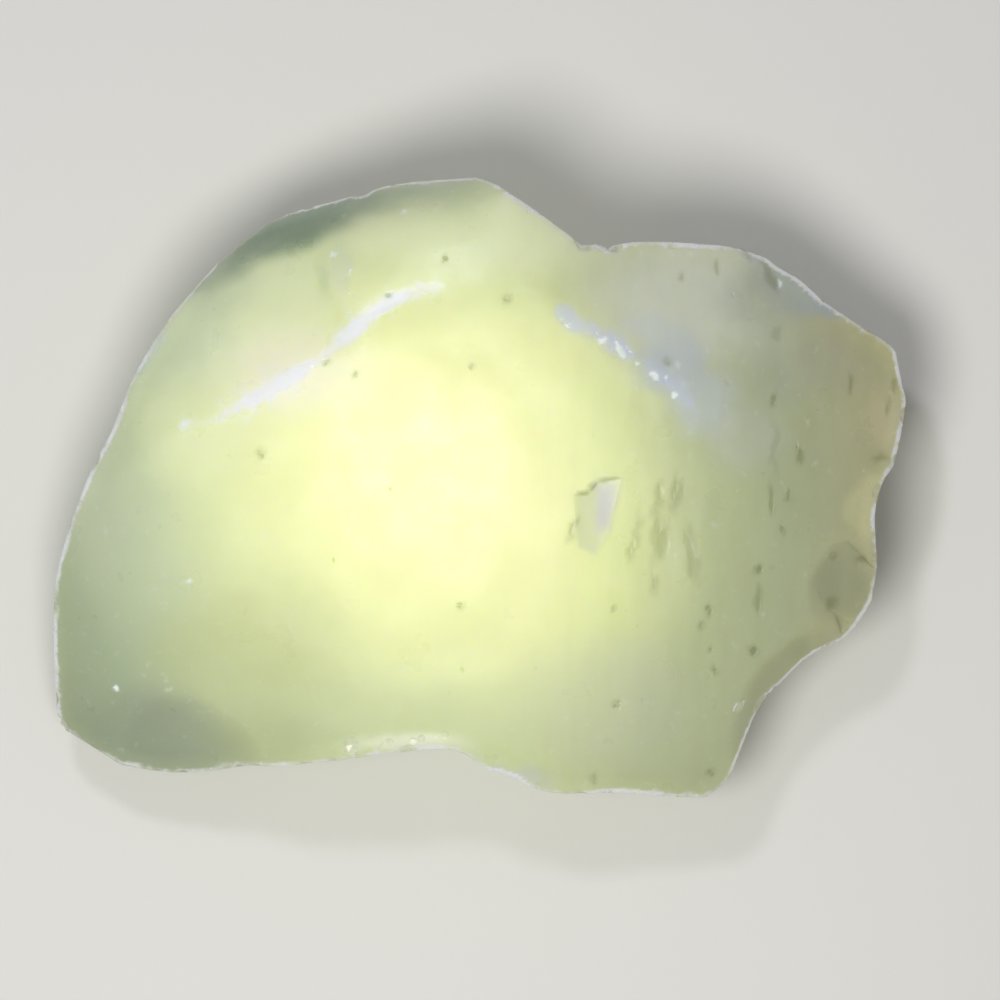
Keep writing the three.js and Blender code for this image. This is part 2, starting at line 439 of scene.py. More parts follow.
def chipping():
    """The tree that knocks a row of shallow chips off the body along some lines."""
    tree, given = node_tree("chips_along_an_edge", {
        "Lines": "Object", "Spacing": "Float", "Smallest": "Float", "Largest": "Float",
        "Share": "Float", "Stray": "Float", "Seed": "Int", "Glass": "Material"})
    lines = add_node(tree, "GeometryNodeObjectInfo", Object=given["Lines"])
    curve = add_node(tree, "GeometryNodeMeshToCurve", Mesh=lines.outputs["Geometry"])
    places = add_node(tree, "GeometryNodeCurveToPoints", {"mode": "LENGTH"}, Curve=curve,
                      Length=given["Spacing"])
    radius = add_node(tree, "FunctionNodeRandomValue", _2=given["Smallest"], _3=given["Largest"],
                      Seed=given["Seed"]).outputs[1]
    stand = add_node(tree, "FunctionNodeRandomValue", _2=DEEP, _3=SHALLOW, Seed=given["Seed"]).outputs[1]
    picked = add_node(tree, "FunctionNodeRandomValue", {"data_type": "BOOLEAN"},
                      Probability=given["Share"], Seed=given["Seed"]).outputs[3]
    by_chance = {
        use: add_node(tree, "FunctionNodeRandomValue", {"data_type": "FLOAT_VECTOR"}, Min=(low,) * 3,
                      Max=(high,) * 3, Seed=given["Seed"])
        for use, low, high in [("stray", -1, 1), ("turn", 0, TURNED), ("stretch", NARROW, WIDE)]}
    outward = add_node(tree, "GeometryNodeInputNamedAttribute", {"data_type": "FLOAT_VECTOR"},
                       Name="outward").outputs["Attribute"]
    # Each stone strays along the surface only, and then stands out from it by about its radius
    stray = add_node(tree, "ShaderNodeVectorMath", {"operation": "SCALE"}, _0=by_chance["stray"],
                     Scale=given["Stray"])
    lifted = add_node(tree, "ShaderNodeVectorMath", {"operation": "DOT_PRODUCT"}, _0=stray, _1=outward)
    sunk = add_node(tree, "ShaderNodeVectorMath", {"operation": "SCALE"}, _0=outward,
                    Scale=lifted.outputs["Value"])
    beside = add_node(tree, "ShaderNodeVectorMath", {"operation": "SUBTRACT"}, _0=stray, _1=sunk)
    one_radius = add_node(tree, "ShaderNodeVectorMath", {"operation": "SCALE"}, _0=outward, Scale=radius)
    out = add_node(tree, "ShaderNodeVectorMath", {"operation": "SCALE"}, _0=one_radius, Scale=stand)
    shift = add_node(tree, "ShaderNodeVectorMath", {"operation": "ADD"}, _0=out, _1=beside)
    moved = add_node(tree, "GeometryNodeSetPosition", Geometry=places.outputs["Points"], Offset=shift)
    size = add_node(tree, "ShaderNodeVectorMath", {"operation": "SCALE"}, _0=by_chance["stretch"],
                    Scale=radius)
    stone = add_node(tree, "GeometryNodeMeshIcoSphere", Radius=1.0, Subdivisions=2)
    stones = add_node(tree, "GeometryNodeInstanceOnPoints", Points=moved, Selection=picked,
                      Instance=stone, Rotation=by_chance["turn"], Scale=size)
    take_out(tree, given["Body"], stones, given["Glass"])
    return tree


def set_up(piece, tree, settings):
    """Gives the piece a modifier that runs the tree with these inputs."""
    modifier = piece.modifiers.new(tree.name, "NODES")
    modifier.node_group = tree
    inputs = [item for item in tree.interface.items_tree if item.in_out == "INPUT"]
    sockets = {item.name: item.identifier for item in inputs}
    for label, value in settings.items():
        modifier[sockets[label]] = value


def edge_lines(name, pieces):
    """Straight pieces, each given by its two ends, joined where their ends meet."""
    ends = [tuple(round(c, 7) for c in end) for piece in pieces for end in piece]
    places = {end: i for i, end in enumerate(dict.fromkeys(ends))}
    lines = marks(name, places, outward=[outward_at(Vector(place)) for place in places])
    pairs = [(places[a], places[b]) for a, b in zip(ends[::2], ends[1::2]) if a != b]
    lines.data.edges.add(len(pairs))
    lines.data.edges.foreach_set("vertices", np.array(pairs).ravel())
    return lines


def in_pieces(arris):
    path = along(arris)[0]
    return list(zip(path, path[1:]))


glass, glass_tree = new_material("milky_cast_glass")
lump = show("milky_lump", fine)
chips = chipping()
outward_at = normal_tree(body, evened(normals_of(fine, body), edges, np.ones(len(body)), 2))
rows = {
    "rim_lines": (RIM_ROW, [a[:2] for a in arrises if a[2]]),
    "western_line": (WESTERN_ROW, in_pieces(WESTERN_ARRIS)),
    "step_line": (STEP_ROW, in_pieces(STEP_ARRIS)),
    "eastern_line": (EASTERN_ROW, in_pieces(EASTERN_ARRIS)),
    "southern_line": (SOUTHERN_ROW, in_pieces(SOUTHERN_EDGE)),
}
for name, ((spacing, smallest, largest, stray, share, seed), pieces) in rows.items():
    set_up(lump, chips, {
        "Lines": edge_lines(name, pieces), "Spacing": spacing * MM, "Smallest": smallest * MM,
        "Largest": largest * MM, "Share": share, "Stray": stray * MM, "Seed": seed, "Glass": glass})
chipped = settled(lump)

# ------------------------------------------------------------
# The marks on its faces.
# Pits are bubbles that the break has opened, drawn long by the flow of the glass. Slivers are thin
# steps in the break. A spall beside them and a flake at the east end have left shallow hollows.
# ------------------------------------------------------------
# Each pit is x, y, length and width in millimetres.
PITS = {
    "western": [
        (-15.3, 2.4, 0.9, 0.5), (-10.7, 8.8, 0.6, 0.5), (-8.7, 8, 0.6, 0.4), (-6.4, 13.4, 0.4, 0.7),
    ],
    "northern": [(1.9, 13.2, 0.6, 0.4), (-0.6, 8.5, 0.5, 0.3), (-2.4, 16, 0.5, 0.5)],
    "north_eastern": [(16.6, 15.5, 1.3, 0.3), (14.2, 14.8, 0.7, 0.3), (13.1, 8.7, 0.5, 0.5)],
    "eastern": [
        (20.6, 6.2, 1.4, 0.5), (22.4, 2.2, 1.7, 0.5), (20.4, -0.8, 2.8, 0.3), (21.6, -0.5, 1, 0.3),
        (21.2, -2.9, 0.9, 0.4), (26, 7.3, 1.8, 0.3), (28.6, 5.8, 1.6, 0.3), (29.1, 7.2, 1.2, 0.2),
    ],
    "south_eastern": [
        (19.5, -5.6, 0.9, 0.7), (19.5, -7.7, 2.8, 0.3), (16, -8.5, 0.9, 0.6), (15.5, -9.5, 0.9, 0.3),
        (16.1, -11.3, 0.6, 0.4), (19.1, -11.3, 0.9, 0.9), (16.5, -12.8, 0.7, 0.4), (9.4, -8.3, 0.6, 0.3),
    ],
    "southern": [
        (9.6, -15.1, 0.8, 0.6), (8.1, -20.4, 0.9, 0.3), (16.2, -20, 0.6, 0.6), (-1.4, -8.2, 0.6, 0.4),
    ],
}
PIT_DEPTH = 0.1  # against its width
PITS_IN_ONE = 3  # bubbles for each width of a long pit's length
# Each sliver is x, y, length and width in millimetres, and degrees that it leans from north.
SLIVERS = [
    (12.5, -0.5, 2.8, 0.5, 0), (12.6, -3.6, 3.4, 1.2, -3), (13.6, -0.8, 2.2, 0.4, 2),
    (14.1, 0, 2, 0.3, 0), (14.8, -4.6, 4.8, 0.8, -9), (6.4, -3.1, 2, 0.4, 12),
    (10.6, -4.3, 1.8, 0.5, 0), (12.2, -6.6, 2, 0.5, -4),
]
SLIVER_DEPTH = 0.028  # against its width
SLIVERS_IN_ONE = 0.35  # dents for each width of a sliver's length
LEANING = 8  # degrees that the parts of a long mark lean more or less than it
PIT_SPAN, SLIVER_SPAN = 0.5, 0.8  # how much of a mark's length a full part of it would take up
PART_SHARE = (0.4, 0.8)  # each part's size, against a full one
PART_STRAY = 0.8  # how far it strays in the room that this leaves
# Flakes that left a shallow hollow: the x and y of its outline, and its depth there, in millimetres.
HOLLOWS = {
    "spall": [
        (6.6, -0.5, 0.04), (7.6, -0.2, 0.09), (8.3, 0.5, 0.14), (9.9, 0.7, 0.03), (9.5, -0.9, 0.01),
        (9, -3.1, 0), (8, -4.6, 0), (6.9, -4.2, 0), (6.7, -1.8, 0.02),
    ],
    "east_chip": [
        (25.8, -3.6, 0.05), (27.5, -5.4, 0.25), (29, -6.2, 0.15), (28.5, -9, 0.1),
        (26, -11, 0.05), (25.4, -10.2, 0.05), (25, -9, 0.12), (23.8, -7.5, 0.08),
        (23.4, -6.3, 0.02), (24.6, -4, 0.02),
    ],
}
LID = 2 * MM  # how far the solid that is taken out stands up above the floor
HOLLOW_CUTS = 9  # each edge of its first facets is cut so often
FLOOR_ROUNDS = 150  # rounds of smoothing that stretch its floor evenly across
PITS_PER_SQUARE_METRE = 7000.0
SMALL_PITS = {"Density": PITS_PER_SQUARE_METRE, "Width": 0.16 * MM, "Length": 0.32 * MM, "Seed": 11}
SMALL_PIT_SIZES = (0.3, 0.8)  # at random, against that width and length
OPENING = 0.6  # how far out a mark's ball stands, against its depth
SHARP = math.radians(16)  # faces of the finished lump that meet at more than this look sharp


def pressed(mesh):
    """Gives the place and normal of a mesh below a plan point, or level with the rim outside it."""
    over = BVHTree.FromPolygons([v.co for v in mesh.vertices], [p.vertices for p in mesh.polygons])

    def under(x, y):
        start = Vector((x * MM, y * MM, cad_high[2] + MM))
        place, normal = over.ray_cast(start, Vector((0, 0, -1)))[:2]
        if place is None:
            near, normal = over.find_nearest(Vector((start.x, start.y, RIM_HEIGHT)))[:2]
            place = Vector((start.x, start.y, near.z))
        return place, normal

    return under


def dents(name, rows, surface_at):
    """Points that say where each long dent goes, how large it is and how it is turned."""
    places, sizes, turns = [], [], []
    wide = 2 * math.sqrt(1 - OPENING ** 2)
    for x, y, length, width, depth, lean in rows:
        place, normal = surface_at(x, y)
        along_it = Vector((math.sin(lean), math.cos(lean), 0))
        across = along_it.cross(normal).normalized()
        frame_of = Matrix((across, normal.cross(across), normal)).transposed()
        half_deep = depth / (1 - OPENING)
        places.append(place + normal * half_deep * OPENING)
        sizes.append((width / wide, length / wide, half_deep))
        turns.append(frame_of.to_euler())
    return marks(name, places, size=sizes, turn=turns)


def denting():
    """The tree that takes a long rounded dent out of the body at each marked point."""
    tree, given = node_tree("dents_at_points", {"Points": "Object", "Glass": "Material"})
    points = add_node(tree, "GeometryNodeObjectInfo", Object=given["Points"])
    held = {label: add_node(tree, "GeometryNodeInputNamedAttribute", {"data_type": "FLOAT_VECTOR"},
                            Name=label).outputs["Attribute"] for label in ("size", "turn")}
    ball = add_node(tree, "GeometryNodeMeshIcoSphere", Radius=1.0, Subdivisions=3)
    balls = add_node(tree, "GeometryNodeInstanceOnPoints", Points=points.outputs["Geometry"],
                     Instance=ball, Rotation=held["turn"], Scale=held["size"])
    take_out(tree, given["Body"], balls, given["Glass"])
    return tree


def pitting():
    """The tree that opens small long pits at random over the whole body."""
    tree, given = node_tree("small_pits", {
        "Density": "Float", "Width": "Float", "Length": "Float", "Seed": "Int", "Glass": "Material"})
    places = add_node(tree, "GeometryNodeDistributePointsOnFaces", Mesh=given["Body"],
                      Density=given["Density"], Seed=given["Seed"])
    scale = add_node(tree, "ShaderNodeCombineXYZ", X=given["Width"], Y=given["Length"], Z=given["Width"])
    vary = add_node(tree, "FunctionNodeRandomValue", _2=SMALL_PIT_SIZES[0], _3=SMALL_PIT_SIZES[1],
                    Seed=given["Seed"]).outputs[1]
    size = add_node(tree, "ShaderNodeVectorMath", {"operation": "SCALE"}, _0=scale, Scale=vary)
    ball = add_node(tree, "GeometryNodeMeshIcoSphere", Radius=1.0, Subdivisions=2)
    balls = add_node(tree, "GeometryNodeInstanceOnPoints", Points=places.outputs["Points"],
                     Instance=ball, Scale=size)
    take_out(tree, given["Body"], balls, given["Glass"])
    return tree


def hollowing():
    """The tree that takes one solid out of the body."""
    tree, given = node_tree("one_hollow", {"Solid": "Object", "Glass": "Material"})
    solid = add_node(tree, "GeometryNodeObjectInfo", Object=given["Solid"])
    take_out(tree, given["Body"], solid.outputs["Geometry"], given["Glass"])
    return tree


def hollow_solid(name, outline, surface_at):
    """A lid above the surface, upright sides, and the smooth floor of the hollow."""
    floor = [surface_at(x, y)[0] - Vector((0, 0, depth * MM)) for x, y, depth in outline]
    floor.append(sum(floor, Vector()) / len(floor))
    lid = [point + Vector((0, 0, LID)) for point in floor]
    count, rim = len(floor), len(outline)
    faces = []
    for i in range(rim):
        j = (i + 1) % rim
        faces += [(i, j, rim), (i + count, rim + count, j + count), (j, i, i + count, j + count)]
    mesh = bpy.data.meshes.new(name)
    mesh.from_pydata(floor + lid, [], faces)
    whole = bmesh.new()
    whole.from_mesh(mesh)
    bmesh.ops.recalc_face_normals(whole, faces=whole.faces)
    bmesh.ops.subdivide_edges(whole, edges=whole.edges, cuts=HOLLOW_CUTS, use_grid_fill=True)
    whole.normal_update()
    # The floor's own points, whose faces all look down, out of the solid
    inner = [vert for vert in whole.verts if all(face.normal.z < -0.5 for face in vert.link_faces)]
    for _ in range(FLOOR_ROUNDS):
        bmesh.ops.smooth_vert(
            whole, verts=inner, factor=0.5, use_axis_x=True, use_axis_y=True, use_axis_z=True)
    whole.to_mesh(mesh)
    return show(name, mesh)


def parts_of(long_marks, parts, span, depth, seed):
    """The dents, each up to span of its length, that make each x, y, length, width and lean."""
    random = np.random.default_rng(seed)
    dents_in_it = []
    for x, y, length, width, lean in long_marks:
        turn = math.radians(lean)
        for _ in range(max(2, round(parts * length / width))):
            share = random.uniform(*PART_SHARE)
            stray = random.uniform(-PART_STRAY, PART_STRAY, 2)
            across, lengthways = stray * (1 - share) * (width, length)
            dents_in_it.append((
                x + across * math.cos(turn) + lengthways * math.sin(turn),
                y - across * math.sin(turn) + lengthways * math.cos(turn),
                share * max(width, length * span) * MM, share * width * MM, depth * share * width * MM,
                turn + math.radians(random.uniform(-LEANING, LEANING))))
    return dents_in_it


surface_at = pressed(chipped)
pits = [(*pit, 0) for group in PITS.values() for pit in group]
dent = denting()
hollow = hollowing()
for name, outline in HOLLOWS.items():
    set_up(lump, hollow, {"Solid": hollow_solid(name, outline, surface_at), "Glass": glass})
steps = parts_of(SLIVERS, SLIVERS_IN_ONE, SLIVER_SPAN, SLIVER_DEPTH, seed=13)
set_up(lump, dent, {"Points": dents("slivers", steps, surface_at), "Glass": glass})
stepped = settled(lump)
bubbles = parts_of(pits, PITS_IN_ONE, PIT_SPAN, PIT_DEPTH, seed=12)
set_up(lump, dent, {"Points": dents("pits", bubbles, surface_at), "Glass": glass})
set_up(lump, pitting(), {**SMALL_PITS, "Glass": glass})
finished = settled(lump)

for name in (*rows, *HOLLOWS, "slivers", "pits"):
    bpy.data.objects.remove(bpy.data.objects[name])
for polygon in finished.polygons:
    polygon.use_smooth = True
finished.set_sharp_from_angle(angle=SHARP)
finished.materials.clear()
finished.materials.append(glass)

# ------------------------------------------------------------
# The glass.
# Milky glass, cast thick and broken: cloudy all through, so that light soaks in and spreads. It is
# clear yellow-green in its heart and greyer outwards, under a painted glow that is brightest in the
# heart. It is bruised white where knocked, with painted highlights, glints and lilac reflections on
# the worn arrises and the rim, has painted shade on the north-western bevel, in its steps and along
# the spall's lip, and is darker in its pits.
# ------------------------------------------------------------
# The middles of the painted glow and of the glass's own yellow-green tint
WESTERN_HEART = (-3.5 * MM, 1.3 * MM, 9.0 * MM)
EASTERN_HEART = (-3.5 * MM, -0.8 * MM, 9.0 * MM)
EASTERN_SPREAD = (1.0, 0.82, 1.0)  # the eastern colours reach further along Y
FARTHEST = 32.0 * MM
# The colour of the glass at each distance from the heart, in millimetres, nearest first: its own
# tint, with a painted glow that is brightest in the heart and fades outwards.
WEST_TINT_AND_GLOW = {9: "#f3f4b2", 11: "#f1f6b1", 15: "#ecf3bc", 20: "#d0dbb6", 26: "#afbc9d", 31: "#a6b093"}
EAST_TINT_AND_GLOW = {
    9: "#f3f4b2", 11: "#f3f5b4", 14: "#ecf3b4", 16: "#e2e9ae", 18.5: "#d3daab", 21: "#c2caa1",
    26: "#b9c09d", 31: "#bebd98",
}
DIVIDE = (-3 * MM, 9 * MM)  # along X, where the western colours give way to the eastern
COLOURS_WANDER = 1.5 * MM  # how far those colours stray in and out, in blotches of this size
BLOTCH = 7 * MM
# The north-western bevel, by its plan outline, is painted grey: painted shade of a face that turns
# steeply away from the light.
BEVEL = [
    (-20.3, 13.8), (-18.8, 13.9), (-17.2, 14.7), (-15.5, 15.8), (-12.2, 16.9), (-11.5, 17.2),
    (-9.9, 18.2), (-7.3, 19.2), (-4.2, 20.2), (-0.7, 21.2), (-0.7, 24), (-12, 24), (-22, 18),
]
BEVEL_SOFT = 1.5  # mm that its inner border takes to fade
BEVEL_FADES = (-10 * MM, -2 * MM)  # along X, where the bevel's painted shade fades
BEVEL_LEFT = 0.1  # how much of the painted shade is left past that
BEVEL_PAINTED_SHADE = "#aabbbb"
BEVEL_EDGE = "#c3cac8"
BEVEL_EDGE_SHARE = 0.35
# Bruised white with a painted highlight in it; lilac, a painted reflection; blue, painted glints; and the
# pale wear of the rim with its painted highlight.
BRUISE_AND_HIGHLIGHT_WHITE = "#f4fffa"
LILAC_PAINTED_REFLECTION = "#d2d8e8"
PAINTED_GLINT_BLUE = "#cdd2f5"
EDGE_WEAR_AND_HIGHLIGHT = "#eff2f4"
CHIP_PALE = "#e6eae0"
CHIP_SHARE = 0.5
MARK_DARK_COLOUR = "#b9bd9c"
# How much each kind of mark is darkened, and how much more at the bottom of a pit: in the sliver
# steps it is painted shade, and on the spall's lip a painted shadow
MARK_DARKENING = {"pit": 0.35, "pit_floor": 0.2, "sliver": 0.35, "spall_lip": 0.6, "wisp": 0.5}
CLOUD_GREY = "#e4e6de"
# Blotches of each kind: how large, how fine-grained, the band of the noise that shows, and their
# least and most strength.
CLOUDS = (1.4 * MM, 4, 0.2, 0.85, 0, 0.1)
STREAKS = (1.0 * MM, 2, 0.3, 0.85, 0, 0.15)
STREAK_LENGTH = 6  # against its width
SOFT = {"interpolation_type": "SMOOTHSTEP"}
# Painted glints: blue specks in the lilac of the eastern arris
PAINTED_GLINT_SPECKS = (0.9 * MM, 2, 0.4, 0.65, 0, 0.7)
# Lilac veins of painted reflection in the white of the western arris
VEINS = (0.8 * MM, 3, 0.5, 0.75, 0, 0.15)
SATIN = (2.5 * MM, 3, 0.2, 0.8, 0.26, 0.36)  # its strength is the roughness of the surface
BRUISE_GLOSS = 0.1  # how much less rough the rubbed bruises are
GRAIN = 0.25 * MM
GRAIN_DEPTH = 0.05 * MM
FRAYED = 0.9  # how far the borders of the bruises fray, in tufts of this size
TUFT = 0.7 * MM
HALO = 0.3  # how strong the painted halo of light round a worn arris is, against its middle
HALO_REACH = 1.8  # against the reach of the middle
BAND_WANDER = 0.15  # how far the bruised band with its painted highlight wanders, against its reach
MARK_FADES = (0.3, 1.1)  # on the way out to a mark's edge, where its colour fades
REACH = 0.15  # mm that the darkening reaches past a mark
BRUISE_REACH = 0.05  # mm that the painted white reaches past a small bruise or glint
LIP_WIDTH = 0.05  # mm, the width of the painted shadow along the lip of the spall
WARP = 0.12  # mm that the borders wander
ON_TOP = (5.5 * MM, 8.5 * MM)  # heights between which the marks of the upper faces fade in
LOW_DOWN, FACING_DOWN = 0.25, 0.35  # how much of the rim's wear and painted highlight is left there
PATCH_FADES = (0.35, 1.4)  # on the way out to a patch's edge, where it fades
PATCH_WANDER = 1.6 * MM  # how far the borders of the patches wander
# Faces and hollows of another shade, partly their own tone and partly painted light and shade of
# faces turned to or from the light; the bluish ones on the north-eastern scar, the western rim and the
# facet of the spall are a painted reflection. Each is the plan outline and softness of its border in
# millimetres, colour and share.
ZONES = {
    "east_chip": ([
        (25.8, -3.6), (27.5, -5.4), (29, -6), (28.5, -9), (26, -11), (25.4, -10.2), (25, -9),
        (23.8, -7.5), (23.4, -6.3), (24.6, -4)], 0.5, "#afb28f", 0.7),
    "east_face": ([
        (27.2, 1.2), (28.6, 1), (28.4, -3.6), (27.2, -3.4), (26.1, -2.6), (25.6, -2),
        (25.6, -0.8)], 0.8, "#d6d5a8", 0.5),
    "bite_flake": ([
        (24.3, -9.4), (21.8, -10.6), (20, -12), (19, -13.6), (18.6, -14.8), (19.5, -16.5), (22, -13.5),
        (25, -11.5)], 0.8, "#b6b984", 0.4),
    "flake": ([
        (-25.2, -14.8), (-23, -13.8), (-21.3, -14.1), (-19.5, -15.2), (-17.2, -17.6), (-15.2, -19.7),
        (-20, -24), (-28, -20.5), (-26, -17.5)], 2.4, "#a7af9b", 0.55),
    "north_east_scar": ([
        (18, 17.4), (18.6, 16), (19.6, 14), (20.6, 12.6), (23, 11.9), (25.5, 12.2), (24, 16),
        (19, 19)], 1.1, "#a8b1ba", 0.8),
    "rim_bruise": ([
        (-24.6, 7.7), (-23.4, 8.2), (-22.9, 9.4), (-21.9, 10.4), (-22.5, 12),
        (-25.5, 9.5)], 0.9, "#b0c2ce", 0.6),
    "spall": ([place[:2] for place in HOLLOWS["spall"]], 0.6, "#d3d7b6", 0.6),
    "spall_facet": ([
        (8.2, 0.1), (9.5, 0.2), (9.3, -1.2), (9, -2.7), (8.3, -2.9), (8, -1.4)], 1.1, "#cbcbd2", 0.7),
}
# Soft patches of another colour, partly the glass's own uneven tone and partly painted light and
# shade; the lilac-blue ones are a painted reflection. Each is x, y, width and height in millimetres,
# colour and share.
TONE_AND_PAINTED_LIGHT_PATCHES = [
    (14.5, 13.2, 15.5, 10, "#dee1d5", 0.75), (20, 13.3, 6.5, 5, "#adb39d", 0.5),
    (13.6, 8.9, 4.4, 5, "#c7cfe0", 0.5), (15.6, 6, 5, 5, "#d0d7e6", 0.5),
    (12, 8.2, 3, 3.2, "#c3ccdc", 0.35), (11.3, 11.4, 3.2, 2, "#cdd6ea", 0.25),
    (20.5, 8, 5, 6, "#bcc2b2", 0.35), (24.2, 9, 5, 5, "#b9b9aa", 0.3),
    (1.5, 9.5, 14, 5, "#e4e59f", 0.35), (-14.5, -11.3, 15, 8, "#ccd49a", 0.3),
    (-21.5, -11.5, 5, 5, "#bcc595", 0.3), (22.5, -11.3, 2.4, 1.6, "#a9ad80", 0.35),
    (18.5, 3.5, 6, 5, "#c9cec6", 0.4), (3.5, 18, 10, 7, "#eef3cf", 0.7),
    (-5.6, 18, 9, 4.5, "#f8fcd6", 0.4), (-14.5, 12.5, 13, 8, "#eef5d2", 0.5),
    (-9.6, 15.6, 1.4, 3.8, "#d3dcc6", 0.4), (-10.9, 14.8, 1.2, 3, "#bccaa0", 0.3),
    (-21, 10, 8, 9, "#d4dfc0", 0.6), (-13.5, 8.2, 12, 6.5, "#fbffe2", 0.65),
    (-19.5, 4.3, 9, 8, "#f2f8cc", 0.55), (-26.5, -2, 6, 12, "#ccd4bd", 0.4),
    (-19, 14, 7, 4, "#b9c6ad", 0.3), (-15.5, -10.8, 13, 12, "#c9d098", 0.45),
    (-23.5, -18.5, 13, 8, "#919c86", 0.4), (-9, -16.5, 24, 8, "#c9d2a2", 0.45),
    (-14.5, -17.8, 9, 5, "#b0b98a", 0.35), (-5, -17.9, 8, 1.6, "#e8eadc", 0.5),
    (2.8, -20.3, 5, 2, "#c6cad2", 0.5), (8.5, -15, 13, 10, "#c9cebc", 0.4),
    (27.2, -7.8, 2.4, 4.4, "#a5a78f", 0.5), (28.4, 4.8, 2.6, 4.6, "#cfc9a6", 0.6),
    (20.6, 3, 0.7, 4, "#adb295", 0.5), (20.9, 10.8, 0.8, 0.9, "#adb19a", 0.6),
]
# Small bruises, painted glints, and the broad painted halo of light beside the western arris: x, y,
# length and width in millimetres, degrees that it leans from north, and how white, from 0 to 1.
BRUISES_AND_GLINTS = [
    (-10.2, 16.3, 0.5, 0.35, 20, 1), (-9.1, 15.1, 0.5, 0.3, -10, 0.9), (-5.4, 19.3, 0.3, 0.5, 0, 0.9),
    (-25.4, -13.9, 0.5, 0.4, 0, 1), (-22.1, -13.2, 0.3, 0.6, 10, 0.5),
    (-21.8, -14.1, 0.25, 0.5, 0, 0.4), (-24.8, -14.9, 0.3, 0.6, 20, 0.3),
    (-20.3, -6.5, 0.2, 0.2, 0, 0.6), (12.3, 7.9, 0.45, 0.4, 0, 1), (13.1, 7.9, 0.7, 0.2, 0, 1),
    (13.5, 6.5, 0.5, 0.3, 0, 1), (9.8, 9.7, 1.9, 0.35, -28, 0.9), (8.5, 10.4, 0.8, 0.4, 20, 0.9),
    (6, 11.5, 1.2, 0.25, -50, 0.9), (10.9, 8.7, 0.4, 0.3, 0, 0.8), (13.8, 8.7, 1, 0.5, 0, 0.6),
    (4.2, -20.6, 0.5, 0.3, 30, 0.9), (-2.8, -17.3, 0.5, 1.2, -10, 0.3), (18, 0, 0.2, 0.2, 0, 0.6),
    (-23.4, 8.9, 3.4, 0.7, 32, 0.3), (21, 14.2, 2, 0.2, -20, 0.5), (-13.9, 7.3, 1.8, 1, 63, 1),
    (-7, 12.4, 2.2, 0.7, 55, 1), (-14.7, 7, 11, 4.5, 62, 0.36), (-7.6, 12, 7, 3.5, 50, 0.25),
]
# Dark wisps in the north-eastern scar, at the east end and along the steps beside the spall, given as
# the slivers are, and for some how dark, from 0 to 1.
WISPS = [
    (20.3, 14.9, 3.2, 0.4, -27), (18.6, 16.6, 1.6, 0.5, -30), (24.6, -8.1, 1, 1, 0),
    (28.2, 2.2, 0.4, 1.6, 0), (24.7, -4.7, 0.5, 0.4, 0), (26.8, -5.1, 0.4, 1, 0),
    (12.3, -3, 7.4, 0.6, 2, 0.6), (13.7, -0.4, 3.2, 0.4, -6, 0.8), (14.8, -4.5, 5.2, 0.6, -9, 0.7),
    (11, -3, 4.4, 0.2, 7, 0.6), (6.5, -2.9, 2.2, 0.3, 18, 0.9),
]


def store(name, values):
    held = finished.attributes.new(name, "FLOAT", "POINT")
    held.data.foreach_set("value", np.clip(values, 0, 1))


def depth_below(points, mesh):
    """How far each point lies from the surface of an earlier mesh."""
    earlier = BVHTree.FromPolygons([v.co for v in mesh.vertices], [p.vertices for p in mesh.polygons])
    return np.array([earlier.find_nearest(point)[3] for point in points])


def bruise_and_light_by(points, arris, width):
    """How bruised and lit each point is by a worn arris, 0 to 1: a bruise with a painted highlight or
    reflection, and a painted halo round a whiter middle.
    """
    path, bruised = along(arris)
    tree = tree_of(path)
    nearest = [tree.find(point) for point in points]
    away = np.array([n[2] for n in nearest])
    bruised = bruised[[n[1] for n in nearest]]
    reach = away / (width * (0.5 + 0.5 * bruised)) + BAND_WANDER * waves(points, 2.0 * MM, seed=31)
    middle = 1 - ramp(reach, 0.1, 0.9)
    return bruised * (HALO * (1 - ramp(reach, 0, HALO_REACH)) + (1 - HALO) * middle)


def warped(points, size, seeds):
    """Plan places in millimetres, moved about a little, so that what is drawn on them wanders."""
    return points[:, :2] / MM + WARP * np.stack([waves(points, size, seed) for seed in seeds], 1)


def spread_by(points, long_marks, reach):
    """How strongly long marks, each x, y, length, width and lean from north, colour each point."""
    strength = np.zeros(len(points))
    moved = warped(points, 0.7 * MM, seeds=(34, 35))
    for x, y, length, width, lean, *strong in long_marks:
        turn = math.radians(lean)
        across = (moved - (x, y)) @ (math.cos(turn), -math.sin(turn))
        lengthways = (moved - (x, y)) @ (math.sin(turn), math.cos(turn))
        away = np.hypot(across / (width / 2 + reach), lengthways / (length / 2 + reach))
        strength = np.maximum(strength, (1 - ramp(away, *MARK_FADES)) * (strong[0] if strong else 1))
    return strength * ramp(points[:, 2], *ON_TOP)


def inside(points, outline, soft):
    """1 inside a plan outline in millimetres and 0 outside it, with a soft border."""
    x, y = warped(points, 1.5 * MM, seeds=(36, 37)).T
    nearest = np.full(len(points), np.inf)
    within = np.zeros(len(points), dtype=bool)
    for (ax, ay), (bx, by) in zip(outline, outline[1:] + outline[:1]):
        wide, high = bx - ax, by - ay
        share = np.clip(((x - ax) * wide + (y - ay) * high) / (wide ** 2 + high ** 2), 0, 1)
        nearest = np.minimum(nearest, np.hypot(x - ax - share * wide, y - ay - share * high))
        if high:
            within ^= ((ay > y) != (by > y)) & (x < wide * (y - ay) / high + ax)
    return ramp(np.where(within, nearest, -nearest), -soft / 2, soft / 2) * ramp(points[:, 2], *ON_TOP)


points = numbers(finished.vertices, "co", 3)
chip_depth = depth_below(points, fine)
mark_depth = depth_below(points, chipped)
pit_depth = depth_below(points, stepped)
